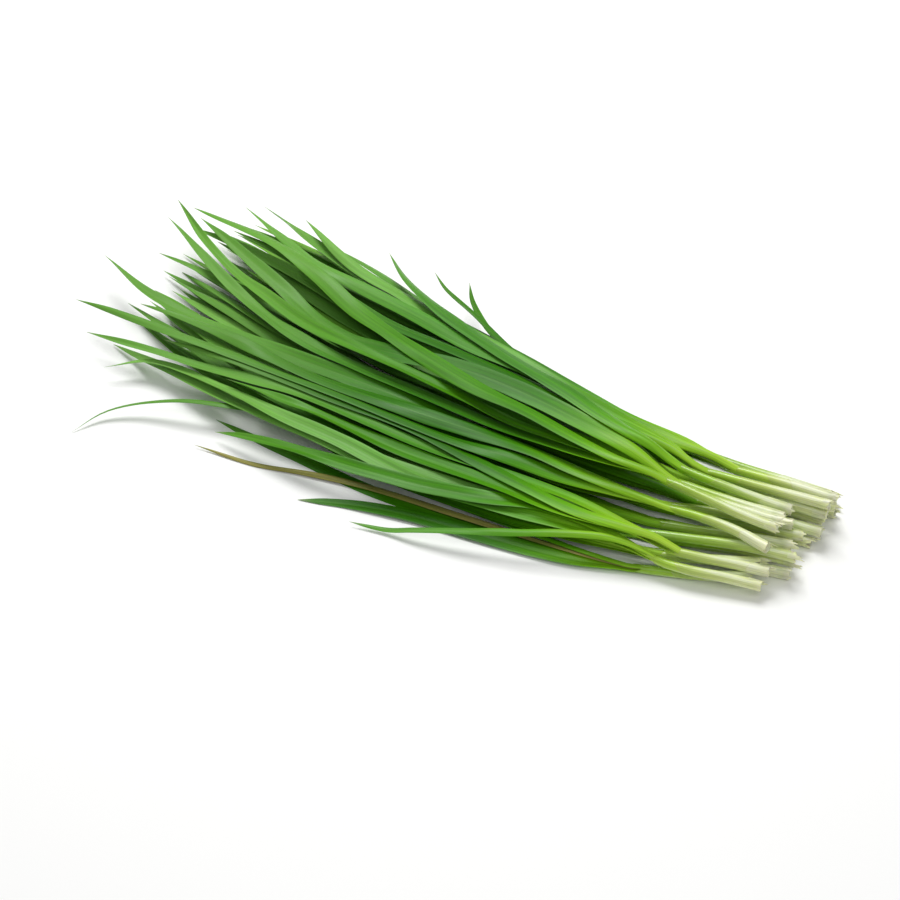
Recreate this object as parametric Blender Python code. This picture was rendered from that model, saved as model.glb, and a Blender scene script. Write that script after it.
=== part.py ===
"""Bunch of cut garlic chives, lying loose on a flat surface.

Every shoot is one solid: a round stem of nested leaf sheaths, cut across at its +X end, that parts
into flat strap leaves. The leaves run towards -X and fan out to pointed tips. The shoots are laid one
after another. Each comes to lie at the lowest height where it clears the heap below it, so that
they rest on one another and never cross. A fine plan grid holds the heap's height as it grows.
"""

import math
import random

import bpy
import numpy as np
from mathutils import Vector
from mathutils.geometry import interpolate_bezier

MM = 0.001

# Driving dimensions of a shoot
STEM_WIDTH = 5.7 * MM
STEM_HEIGHT = 5.4 * MM
STEM_SIDES = 8
SHEATH_TAPER = 0.86
LEAF_THICKNESS = 0.7 * MM
LEAF_WIDTHS = (7.4, 10.2)
ROOT_DEPTH = 9.0 * MM
CHANNEL_DEPTH = 0.25 * MM

# Stations along a leaf, as a part of its length, and its width there as a part of its widest
LEAF_STATIONS = (0.0, 0.04, 0.10, 0.17, 0.25, 0.34, 0.43, 0.52, 0.61, 0.70, 0.79, 0.87, 0.94, 1.0)
LEAF_OUTLINE = (0.54, 0.60, 0.76, 0.88, 0.96, 1.00, 1.00, 0.99, 0.95, 0.89, 0.78, 0.62, 0.40, 0.13)
STEM_STATIONS = (0.0, 0.3, 0.6, 0.85, 1.0)

# How the shoots lie on one another
CLEARANCE = 0.3 * MM
EDGE_MARGIN = 0.4 * MM
STEM_MARGIN = 0.2 * MM
STEM_BEND_RADIUS = 350 * MM
BURIED_BEND_RADIUS = 160 * MM
LEAF_BEND_RADIUS = 400 * MM
TIP_BEND_RADIUS = 320 * MM
STEEPEST_RISE = 0.22
RISING_LENGTH = 90 * MM
LEAN = 0.75
LEAN_WINDOW = 28 * MM
LEAN_START = 25 * MM
STEEPEST_ROLL = 0.24
FREE_FROM = 0.5

# Plan grid that holds the height of the heap
CELL = 0.4 * MM
GRID_X = (-300 * MM, 230 * MM)
GRID_Y = (-150 * MM, 170 * MM)
SAMPLE_STEP = 0.36 * MM

# Edges of the heap's lower layers in plan, in millimetres, from the leaf tips to the cut ends
NEAR_EDGE = ((-235, -4), (-188, -20), (-128, -37), (-100, -43), (-68, -48), (-28, -50), (12, -50),
             (52, -46), (92, -39), (132, -27), (170, -10))
FAR_EDGE = ((-235, 118), (-190, 110), (-140, 100), (-100, 90), (-40, 76), (20, 65), (70, 59), (110, 57),
            (140, 57), (178, 57))

# Lower layers of shoots, placed by rule across the fan: how many shoots, where the first one lies as a
# part of their spacing, and how far a stem may slant as a part of the fan's width
LAYERS = ((8, 1.0, 0.0), (8, 0.5, 0.02), (4, 0.6, 0.04))
CUT_ENDS_X = (168, 188)
COLLARS_X = (100, 120)
TIPS_X = (-218, -110)
COMMONEST_TIP_X = -185
LEAVES_PER_SHOOT = (3, 4, 4)
LOWER_TIP_LIFT = 0.8
ROUTE_PARTS = (0.22, 0.45, 0.7, 0.87, 1.0)
LEAF_CHOICES = 24
LEAF_DRIFT = 0.2
SEED = 5

# Shoots placed by eye, in millimetres: plan points of the stem from its cut end, then for each leaf its
# widest width, its plan points from the stem to the tip, and how far its tip or its middle arches up
NEAREST_SHOOT = (
    [(168, -12), (149, -22), (134, -28), (114, -35)], [
        dict(width=8, route=[(90, -40), (53, -43), (13, -45), (-27, -46), (-67, -43), (-115, -39)]),
        dict(width=9, route=[(90, -42), (52, -48), (12, -53), (-20, -60), (-45, -70)]),
        dict(width=4, route=[(70, -40), (0, -44), (-53, -52), (-80, -59), (-112, -62)], tip_lift=1),
        dict(width=5, arch=11, route=[(80, -37), (0, -36), (-50, -31), (-84, -31), (-110, -40), (-136, -48),
                                      (-153, -56), (-165, -67), (-172, -84)]),
    ])

# Upper shoots, in the same form, and how far they are moved in plan at the leaf tips and over the stems
SHIFT_X = (-200, 50)
TIP_SHIFT = (2.5, -4)
STEM_SHIFT = (5, -8)
UPPER_SHOOTS = [
    ([(181, 52), (150, 51), (124, 50)], [
        dict(width=5, tip_lift=3, route=[(90, 53), (50, 58), (10, 68), (-20, 80), (-45, 103), (-58, 121)]),
        dict(width=9, tip_lift=2, route=[(100, 55), (60, 55), (0, 68), (-60, 84), (-100, 97), (-137, 106)]),
        dict(width=9, tip_lift=5, route=[(90, 51), (50, 52), (10, 60), (-30, 70), (-80, 80), (-140, 100),
                                         (-192, 120)]),
    ]),
    ([(182, 42), (150, 39), (132, 38), (114, 37)], [
        dict(width=5, tip_lift=4, route=[(80, 45), (40, 52), (0, 66), (-30, 82), (-58, 98), (-75, 113)]),
        dict(width=9, tip_lift=3, route=[(96, 45), (70, 49), (20, 57), (-30, 69), (-80, 81), (-120, 93),
                                         (-158, 113)]),
        dict(width=8, tip_lift=3, route=[(96, 41), (60, 42), (20, 46), (-20, 50), (-60, 57), (-110, 68),
                                         (-170, 84), (-206, 89)]),
    ]),
    ([(171, -11), (152, -16), (136, -20), (116, -22)], [
        dict(width=8.5, route=[(90, -23), (50, -30), (0, -34), (-40, -32), (-80, -31), (-120, -26),
                               (-165, -22), (-187, -36)]),
        dict(width=8.5, tip_lift=2, route=[(100, -21), (63, -22), (38, -30), (0, -38), (-30, -43),
                                           (-70, -45), (-110, -46)]),
        dict(width=4.5, tip_lift=2, route=[(97, -26), (77, -34), (57, -43), (17, -57), (-18, -66)]),
    ]),
    ([(166, 23), (140, 22), (118, 23), (104, 25)], [
        dict(width=8.5, tip_lift=3, route=[(80, 30), (50, 35), (10, 41), (-20, 44), (-60, 52), (-110, 66),
                                           (-170, 78), (-215, 83)]),
        dict(width=8.5, tip_lift=4, route=[(80, 32), (40, 40), (0, 46), (-40, 52), (-80, 59), (-130, 75),
                                           (-165, 97)]),
    ]),
    ([(172, -5), (155, -9), (140, -13), (124, -16)], [
        dict(width=9, tip_lift=2, route=[(100, -19), (60, -22), (20, -21), (-20, -21), (-60, -22),
                                         (-95, -23), (-118, -23)]),
        dict(width=8.5, tip_lift=3, route=[(100, -15), (70, -11), (40, -10), (0, -13), (-60, -14),
                                           (-100, -15), (-150, -18), (-210, -20)]),
        dict(width=8, tip_lift=4, route=[(100, -19), (80, -20), (60, -18), (20, -11), (-20, -6), (-60, -8),
                                         (-100, -9), (-165, -12)]),
    ]),
    ([(168, 17), (150, 16), (130, 16.5), (110, 18.5)], [
        dict(width=8.5, tip_lift=4, route=[(80, 22), (40, 26), (0, 31), (-50, 32), (-100, 38), (-150, 48),
                                           (-218, 55)]),
        dict(width=11, tip_lift=3, route=[(90, 23), (60, 28), (20, 34), (-20, 36), (-60, 33), (-100, 43),
                                          (-140, 60), (-212, 87)]),
    ]),
    ([(167, 31), (150, 29), (130, 28), (108, 28.5)], [
        dict(width=8.5, tip_lift=4, route=[(90, 33), (60, 41), (20, 50), (-20, 57), (-60, 67), (-100, 75),
                                           (-140, 82), (-193, 104)]),
        dict(width=9.5, tip_lift=3, route=[(80, 32), (60, 37), (40, 44), (0, 56), (-40, 70), (-60, 79),
                                           (-80, 91), (-102, 110)]),
    ]),
    ([(168, 0), (150, 4), (130, 5.5), (112, 5)], [
        dict(width=10, tip_lift=12, route=[(80, 6), (40, 8), (0, 10), (-60, 10), (-100, 12), (-150, 15),
                                           (-200, 20), (-241, 36)]),
        dict(width=8, tip_lift=3, route=[(80, 3), (60, 1.5), (20, -2.5), (-20, -4), (-60, -5), (-110, -6),
                                         (-160, -8), (-230, -3)]),
        dict(width=9.5, tip_lift=4, route=[(80, 6), (45, 7), (20, 6), (-20, 3), (-60, 1), (-100, 0),
                                           (-150, 4), (-195, 8)]),
    ]),
    ([(168, 10), (150, 10), (130, 11.5), (106, 13)], [
        dict(width=9, tip_lift=7, route=[(80, 12), (40, 14), (0, 15), (-60, 18), (-100, 23), (-140, 36),
                                         (-180, 54), (-230, 80)]),
        dict(width=8, tip_lift=5, route=[(80, 14), (40, 17), (0, 20), (-60, 25), (-100, 32), (-140, 46),
                                         (-195, 70), (-234, 96)]),
        dict(width=10, tip_lift=5, route=[(80, 15), (40, 20), (0, 25), (-40, 37), (-80, 51), (-120, 67),
                                          (-160, 80), (-222, 94)]),
    ]),
]


class Heap:
    """Height of the heap over the plan grid, raised as each piece is laid on it."""

    def __init__(self):
        columns = round((GRID_X[1] - GRID_X[0]) / CELL)
        rows = round((GRID_Y[1] - GRID_Y[0]) / CELL)
        self.top = np.full((columns, rows), -CLEARANCE)

    def cells(self, x, y):
        return ((x - GRID_X[0]) / CELL).astype(int), ((y - GRID_Y[0]) / CELL).astype(int)

    def height(self, x, y):
        return self.top[self.cells(x, y)]

    def lay(self, x, y, z):
        np.maximum.at(self.top, self.cells(x, y), z)


def smooth_curve(points, fractions):
    """Plan places at the given parts of the length of a smooth curve through the points."""
    knots = [Vector((x, y, 0.0)) for x, y in points]
    spans = [(b - a).length for a, b in zip(knots, knots[1:])]
    slopes = [(knots[1] - knots[0]) / spans[0]]
    for i in range(1, len(knots) - 1):
        slopes.append((knots[i + 1] - knots[i - 1]) / (spans[i - 1] + spans[i]))
    slopes.append((knots[-1] - knots[-2]) / spans[-1])
    dense = []
    for i, span in enumerate(spans):
        first = knots[i] + slopes[i] * span / 3
        second = knots[i + 1] - slopes[i + 1] * span / 3
        dense += interpolate_bezier(knots[i], first, second, knots[i + 1], 16)
    dense = np.array(dense)[:, :2]
    along = np.concatenate(([0.0], np.cumsum(np.hypot(*np.diff(dense, axis=0).T))))
    wanted = np.array(fractions) * along[-1]
    places = np.column_stack([np.interp(wanted, along, dense[:, axis]) for axis in (0, 1)])
    return places, wanted


class Strip:
    """A stretch of stem or leaf: places in plan, half widths, sideways slopes and heights."""

    def __init__(self, points, fractions, half_widths):
        self.places, self.along = smooth_curve(points, fractions)
        ahead = np.gradient(self.places, self.along, axis=0)
        ahead /= np.linalg.norm(ahead, axis=1)[:, None]
        self.sideways = np.column_stack((-ahead[:, 1], ahead[:, 0]))
        self.half_widths = np.array(half_widths)
        self.roll = np.zeros(len(fractions))
        self.heights = np.zeros(len(fractions))
        self.dense = np.linspace(0.0, self.along[-1], max(2, int(self.along[-1] / SAMPLE_STEP)))

    def at_dense(self, values):
        return np.interp(self.dense, self.along, values)

    def samples(self, margin):
        """Plan grid of points over the strip and a margin beside it, with the distance sideways."""
        half = self.at_dense(self.half_widths) + margin
        across = np.linspace(-1.0, 1.0, int(2 * half.max() / SAMPLE_STEP) + 2)
        offset = half[:, None] * across[None, :]
        x = self.at_dense(self.places[:, 0])[:, None] + self.at_dense(self.sideways[:, 0])[:, None] * offset
        y = self.at_dense(self.places[:, 1])[:, None] + self.at_dense(self.sideways[:, 1])[:, None] * offset
        return x, y, offset

    def settle(self, needed, bend_radius, root=None, rise=None):
        """Lay the strip over the needed heights without a bend sharper than bend_radius."""
        bend_radius = self.at_dense(bend_radius)
        steps = self.dense[:, None] - self.dense[None, ::4]
        sag = steps ** 2 / (2 * bend_radius[:, None])
        laid = np.maximum(needed, (needed[None, ::4] - sag).max(axis=1))
        if root is not None:
            laid = np.maximum(laid, root - self.dense ** 2 / (2 * bend_radius))
            laid = np.maximum(needed, np.minimum(laid, root + rise * self.dense))
        heights = np.interp(self.along, self.dense, laid)
        if root is not None:
            heights[0] = root
        for _ in range(12):
            short = needed - np.interp(self.dense, self.along, heights)
            for i in range(len(heights) - 1):
                inside = (self.dense >= self.along[i]) & (self.dense <= self.along[i + 1])
                if not inside.any():
                    continue
                worst = np.argmax(np.where(inside, short, -1.0))
                if short[worst] <= 0:
                    continue
                part = (self.dense[worst] - self.along[i]) / (self.along[i + 1] - self.along[i])
                weight = (1 - part) ** 2 + part ** 2
                heights[i] += short[worst] * (1 - part) / weight
                heights[i + 1] += short[worst] * part / weight
        self.heights = heights


class Stem(Strip):
    """Round stem with a flat under it: sections are eight-sided and stand on a side."""

    def __init__(self, points):
        taper = np.interp(STEM_STATIONS, (0.0, 1.0), (1.0, SHEATH_TAPER))
        super().__init__(points, STEM_STATIONS, STEM_WIDTH / 2 * taper)
        self.half_heights = STEM_HEIGHT / 2 * taper

    def depth(self, offset):
        """Half height of the section at a distance from its middle."""
        corner = math.tan(math.pi / STEM_SIDES)
        out = np.maximum(0.0, np.abs(offset) - STEM_MARGIN) / self.at_dense(self.half_widths)[:, None]
        fall = np.clip((out - corner) / (1 - corner), 0.0, 1.0)
        return self.at_dense(self.half_heights)[:, None] * (1 - (1 - corner) * fall)

    def needed_below(self, heap):
        """Lowest heights for the stem's underside."""
        x, y, offset = self.samples(STEM_MARGIN)
        middle = (heap.height(x, y) + CLEARANCE + self.depth(offset)).max(axis=1)
        return middle - self.at_dense(self.half_heights)

    def lay_on(self, heap):
        x, y, offset = self.samples(STEM_MARGIN)
        heap.lay(x, y, self.at_dense(self.heights)[:, None] + self.depth(offset))

    def rings(self):
        radius = 1 / math.cos(math.pi / STEM_SIDES)
        turns = [2 * math.pi * (k + 0.5) / STEM_SIDES for k in range(STEM_SIDES)]
        for place, side, wide, high, z in zip(self.places, self.sideways, self.half_widths,
                                              self.half_heights, self.heights):
            yield [(*(place + side * wide * radius * math.cos(a)), z + high * radius * math.sin(a))
                   for a in turns]


class Leaf(Strip):
    """Flat leaf, thickest along its middle, with its two edges a little raised."""

    def __init__(self, points, data):
        super().__init__(points, LEAF_STATIONS, np.array(LEAF_OUTLINE) * data["width"] * MM / 2)
        free = np.clip((np.array(LEAF_STATIONS) - FREE_FROM) / (1 - FREE_FROM), 0.0, 1.0)
        tip_lift = data.get("tip_lift", 0.0) * MM
        arch = data.get("arch", 0.0) * MM
        self.lift = tip_lift * free ** 2 + arch * np.sin(math.pi * free)
        pressed = BURIED_BEND_RADIUS if "choices" in data else LEAF_BEND_RADIUS
        self.bend_radius = pressed + (TIP_BEND_RADIUS - pressed) * free ** 2

    def lean(self, heap):
        """Tilt the leaf sideways with the heap below it."""
        x, y, offset = self.samples(EDGE_MARGIN)
        below = heap.height(x, y)
        above_mean = below - below.mean(axis=1, keepdims=True)
        slope = (above_mean * offset).sum(axis=1) / (offset ** 2).sum(axis=1)
        window = np.hanning(2 * int(LEAN_WINDOW / 2 / SAMPLE_STEP) + 1)
        reach = len(window) // 2
        padded = np.pad(slope, reach, mode="edge")
        smooth = np.convolve(padded, window / window.sum(), mode="valid")
        settled = np.interp(self.along, self.dense, smooth) * LEAN
        begun = np.clip(self.along / LEAN_START, 0.0, 1.0)
        self.roll = np.clip(settled, -STEEPEST_ROLL, STEEPEST_ROLL) * begun

    def needed(self, heap):
        """Lowest heights for the leaf's middle line."""
        x, y, offset = self.samples(EDGE_MARGIN)
        tilt = self.at_dense(self.roll)[:, None] * offset
        return (heap.height(x, y) + CLEARANCE + LEAF_THICKNESS / 2 - tilt).max(axis=1)

    def lay_on(self, heap, start=0.0):
        x, y, offset = self.samples(EDGE_MARGIN)
        tilt = self.at_dense(self.roll)[:, None] * offset
        z = self.at_dense(self.heights)[:, None] + LEAF_THICKNESS / 2 + tilt
        beyond = self.dense >= start
        heap.lay(x[beyond], y[beyond], z[beyond])

    def rings(self):
        for place, side, half, roll, z, part in zip(self.places, self.sideways, self.half_widths,
                                                    self.roll, self.heights, LEAF_OUTLINE):
            edge = z + CHANNEL_DEPTH * part
            yield [(*(place + side * half), edge + roll * half),
                   (*place, z + LEAF_THICKNESS / 2),
                   (*(place - side * half), edge - roll * half),
                   (*place, z - LEAF_THICKNESS / 2)]


def closed_tube(name, rings):
    """Mesh object from rings of equal count, closed by a fan at each end.

    The lower half of each stretch is split along the same diagonals as the upper half above it, so
    that the two faces of a twisted leaf stay one thickness apart.
    """
    rings = list(rings)
    sides = len(rings[0])
    vertices = [point for ring in rings for point in ring]
    faces = []
    for i in range(len(rings) - 1):
        for k in range(sides):
            a, b = i * sides + k, i * sides + (k + 1) % sides
            if k < sides // 2:
                faces += [(a, b, b + sides), (a, b + sides, a + sides)]
            else:
                faces += [(a, b, a + sides), (b, b + sides, a + sides)]
    last = (len(rings) - 1) * sides
    for k in range(1, sides - 1):
        faces.append((0, k + 1, k))
        faces.append((last, last + k, last + k + 1))
    mesh = bpy.data.meshes.new(name)
    mesh.from_pydata(vertices, [], faces)
    return bpy.data.objects.new(name, mesh)


def fuse(name, stem, leaves):
    """Join the leaves to their stem in one solid."""
    body = closed_tube(name, stem.rings())
    bpy.context.scene.collection.objects.link(body)
    group = bpy.data.collections.new(name + "_leaves")
    bpy.context.scene.collection.children.link(group)
    for leaf in leaves:
        group.objects.link(closed_tube(name + "_leaf", leaf.rings()))
    union = body.modifiers.new("Join leaves", "BOOLEAN")
    union.operation = "UNION"
    union.operand_type = "COLLECTION"
    union.collection = group
    union.solver = "MANIFOLD"
    evaluated = body.evaluated_get(bpy.context.evaluated_depsgraph_get())
    joined = bpy.data.meshes.new_from_object(evaluated)
    body.modifiers.clear()
    body.data = joined
    for spare in list(group.objects):
        bpy.data.objects.remove(spare)
    bpy.data.collections.remove(group)
    return body


def lane(place, x):
    """Plan point at x on the line that keeps to one place across the fan. All in millimetres."""
    near = np.interp(x, *zip(*NEAR_EDGE))
    far = np.interp(x, *zip(*FAR_EDGE))
    return (x, near + place * (far - near))


def in_metres(points):
    return [(x * MM, y * MM) for x, y in points]


def shifted(points):
    """Plan points of an upper shoot, moved a little to lie over the lower layers."""
    moved = []
    for x, y in points:
        moved.append((x + np.interp(x, SHIFT_X, (TIP_SHIFT[0], STEM_SHIFT[0])),
                      y + np.interp(x, SHIFT_X, (TIP_SHIFT[1], STEM_SHIFT[1]))))
    return moved


def shifted_shoots():
    """Upper shoots where they lie on the heap."""
    shoots = []
    for stem, leaves in UPPER_SHOOTS:
        shoots.append((shifted(stem), [dict(leaf, route=shifted(leaf["route"])) for leaf in leaves]))
    return shoots


def leaf_route(rng, start, place):
    """Plan points of a leaf that drifts a little across the fan on its way to the tip."""
    tip_x = rng.triangular(*TIPS_X, COMMONEST_TIP_X)
    aim = rng.uniform(max(0.0, place - LEAF_DRIFT), min(1.0, place + LEAF_DRIFT))
    points = []
    for part in ROUTE_PARTS:
        x = start[0] + part * (tip_x - start[0])
        points.append(lane(place + (aim - place) * part, x))
    return points


def drawn_shoots():
    """Lower shoots placed by rule, in the same form as those placed by eye."""
    rng = random.Random(SEED)
    shoots = []
    for count, first, slant in LAYERS:
        for k in range(count):
            place = (k + first) / count
            cut_place = place + rng.uniform(-slant, slant)
            cut_x = rng.uniform(*CUT_ENDS_X)
            collar_x = rng.uniform(*COLLARS_X)
            middle = lane(0.5 * (place + cut_place), 0.5 * (cut_x + collar_x))
            stem = [lane(cut_place, cut_x), middle, lane(place, collar_x)]
            leaves = []
            for _ in range(rng.choice(LEAVES_PER_SHOOT)):
                choices = [leaf_route(rng, stem[-1], place) for _ in range(LEAF_CHOICES)]
                leaves.append(dict(width=rng.uniform(*LEAF_WIDTHS), tip_lift=rng.uniform(0, LOWER_TIP_LIFT),
                                   choices=choices))
            shoots.append((stem, leaves))
    return shoots


def lay_shoot(name, heap, stem_points, leaf_data):
    """Lay one shoot on the heap and build it."""
    stem = Stem(in_metres(stem_points))
    stem_needed = stem.needed_below(heap)
    end = np.array(stem_points[-1]) * MM
    before = np.array(stem_points[-2]) * MM
    root_place = end + (before - end) * ROOT_DEPTH / np.linalg.norm(before - end)
    pitch = LEAF_THICKNESS + CLEARANCE
    levels = [(k - (len(leaf_data) - 1) / 2) * pitch for k in range(len(leaf_data))]
    leaves = []
    lowest_end = 0.0
    for data, level in zip(leaf_data, levels):
        choices = []
        for route in data.get("choices") or [data["route"]]:
            choice = Leaf([tuple(root_place), tuple(end)] + in_metres(route), data)
            choice.lean(heap)
            choices.append(choice)
        leaf = min(choices, key=lambda choice: choice.needed(heap).mean())
        leaves.append(leaf)
        limit = leaf.needed(heap) - STEEPEST_RISE * leaf.dense - level
        near = (leaf.dense > ROOT_DEPTH) & (leaf.dense < RISING_LENGTH)
        lowest_end = max(lowest_end, limit[near].max())
    stem_needed[-1] = max(stem_needed[-1], lowest_end - stem.half_heights[-1])
    stem.settle(stem_needed, np.full(len(STEM_STATIONS), STEM_BEND_RADIUS))
    stem.heights += stem.half_heights
    root_height = np.interp(stem.along[-1] - ROOT_DEPTH, stem.along, stem.heights)
    for leaf, level in zip(leaves, levels):
        leaf.lean(heap)
        needed = leaf.needed(heap)
        needed[leaf.dense <= ROOT_DEPTH] = -1.0
        leaf.settle(needed, leaf.bend_radius, root_height + level, STEEPEST_RISE)
        leaf.heights += leaf.lift
        leaf.lay_on(heap, ROOT_DEPTH)
    for leaf in leaves:
        leaf.lay_on(heap)
    stem.lay_on(heap)
    return fuse(name, stem, leaves)


def leaf_material(name, colour):
    material = bpy.data.materials.new(name)
    material.use_nodes = True
    shader = material.node_tree.nodes["Principled BSDF"]
    shader.inputs["Base Color"].default_value = colour
    shader.inputs["Roughness"].default_value = 0.45
    shader.inputs["Metallic"].default_value = 0.0
    return material


def build():
    for thing in list(bpy.data.objects):
        bpy.data.objects.remove(thing)
    heap = Heap()
    bodies = []
    shoots = [NEAREST_SHOOT] + drawn_shoots() + shifted_shoots()
    for number, (stem_points, leaf_data) in enumerate(shoots, 1):
        name = f"shoot_{number:02d}"
        body = lay_shoot(name, heap, stem_points, leaf_data)
        body.data.materials.clear()
        body.data.materials.append(leaf_material(name + "_green", (0.12, 0.33, 0.03, 1.0)))
        bodies.append(body)
    corners = np.array([vertex.co[:] for body in bodies for vertex in body.data.vertices])
    middle = (corners.min(axis=0) + corners.max(axis=0)) / 2
    bunch = bpy.data.objects.new("garlic_chive_bunch", None)
    bunch.location = (-middle[0], -middle[1], 0.0)
    bpy.context.scene.collection.objects.link(bunch)
    for body in bodies:
        body.parent = bunch


build()
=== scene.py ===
import math
import random

import bpy
import numpy as np
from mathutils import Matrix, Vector
from mathutils.geometry import interpolate_bezier


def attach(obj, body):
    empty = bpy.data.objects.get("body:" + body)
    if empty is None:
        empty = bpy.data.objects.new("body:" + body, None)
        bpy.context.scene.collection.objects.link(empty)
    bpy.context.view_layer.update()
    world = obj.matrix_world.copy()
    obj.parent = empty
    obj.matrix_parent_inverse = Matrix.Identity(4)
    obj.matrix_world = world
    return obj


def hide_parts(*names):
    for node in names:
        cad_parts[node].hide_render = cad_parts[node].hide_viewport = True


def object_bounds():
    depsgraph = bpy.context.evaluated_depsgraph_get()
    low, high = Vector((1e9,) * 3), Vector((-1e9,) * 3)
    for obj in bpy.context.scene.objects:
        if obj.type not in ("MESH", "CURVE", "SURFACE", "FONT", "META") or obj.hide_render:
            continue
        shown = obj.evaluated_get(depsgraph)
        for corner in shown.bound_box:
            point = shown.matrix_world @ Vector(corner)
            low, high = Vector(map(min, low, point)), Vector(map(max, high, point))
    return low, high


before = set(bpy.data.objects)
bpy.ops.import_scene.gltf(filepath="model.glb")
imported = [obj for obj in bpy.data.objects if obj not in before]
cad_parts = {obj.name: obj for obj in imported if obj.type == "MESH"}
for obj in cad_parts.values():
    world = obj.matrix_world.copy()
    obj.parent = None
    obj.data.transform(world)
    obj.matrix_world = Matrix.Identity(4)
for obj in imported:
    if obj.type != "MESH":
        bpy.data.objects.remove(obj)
cad_low, cad_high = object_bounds()
MM = 0.001

# Heap of shoots
# A loose bunch of cut garlic chives lies on its side: shoots are laid one after another, and each comes to
# rest on those below it. Rule and numbers are the solids' own, so a fine shoot lies where its solid does.
STEM_WIDTH = 5.7 * MM
STEM_HEIGHT = 5.4 * MM
STEM_SIDES = 8
SHEATH_TAPER = 0.86
LEAF_THICKNESS = 0.7 * MM
LEAF_WIDTHS = (7.4, 10.2)
ROOT_DEPTH = 9.0 * MM

LEAF_STATIONS = (0.0, 0.04, 0.10, 0.17, 0.25, 0.34, 0.43, 0.52, 0.61, 0.70, 0.79, 0.87, 0.94, 1.0)
LEAF_OUTLINE = (0.54, 0.60, 0.76, 0.88, 0.96, 1.00, 1.00, 0.99, 0.95, 0.89, 0.78, 0.62, 0.40, 0.13)
STEM_STATIONS = (0.0, 0.3, 0.6, 0.85, 1.0)

CLEARANCE = 0.3 * MM
EDGE_MARGIN = 0.4 * MM
STEM_MARGIN = 0.2 * MM
STEM_BEND_RADIUS = 350 * MM
BURIED_BEND_RADIUS = 160 * MM
LEAF_BEND_RADIUS = 400 * MM
TIP_BEND_RADIUS = 320 * MM
STEEPEST_RISE = 0.22
RISING_LENGTH = 90 * MM
LEAN = 0.75
LEAN_WINDOW = 28 * MM
LEAN_START = 25 * MM
STEEPEST_ROLL = 0.24
FREE_FROM = 0.5

CELL = 0.4 * MM
GRID_X = (-300 * MM, 230 * MM)
GRID_Y = (-150 * MM, 170 * MM)
SAMPLE_STEP = 0.36 * MM

NEAR_EDGE = ((-235, -4), (-188, -20), (-128, -37), (-100, -43), (-68, -48), (-28, -50), (12, -50),
             (52, -46), (92, -39), (132, -27), (170, -10))
FAR_EDGE = ((-235, 118), (-190, 110), (-140, 100), (-100, 90), (-40, 76), (20, 65), (70, 59), (110, 57),
            (140, 57), (178, 57))

LAYERS = ((8, 1.0, 0.0), (8, 0.5, 0.02), (4, 0.6, 0.04))
CUT_ENDS_X = (168, 188)
COLLARS_X = (100, 120)
TIPS_X = (-218, -110)
COMMONEST_TIP_X = -185
LEAVES_PER_SHOOT = (3, 4, 4)
LOWER_TIP_LIFT = 0.8
ROUTE_PARTS = (0.22, 0.45, 0.7, 0.87, 1.0)
LEAF_CHOICES = 24
LEAF_DRIFT = 0.2
SEED = 5

NEAREST_SHOOT = (
    [(168, -12), (149, -22), (134, -28), (114, -35)], [
        dict(width=8, route=[(90, -40), (53, -43), (13, -45), (-27, -46), (-67, -43), (-115, -39)]),
        dict(width=9, route=[(90, -42), (52, -48), (12, -53), (-20, -60), (-45, -70)]),
        dict(width=4, route=[(70, -40), (0, -44), (-53, -52), (-80, -59), (-112, -62)], tip_lift=1, dry=1),
        dict(width=5, arch=11, route=[(80, -37), (0, -36), (-50, -31), (-84, -31), (-110, -40), (-136, -48),
                                      (-153, -56), (-165, -67), (-172, -84)]),
    ])

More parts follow.
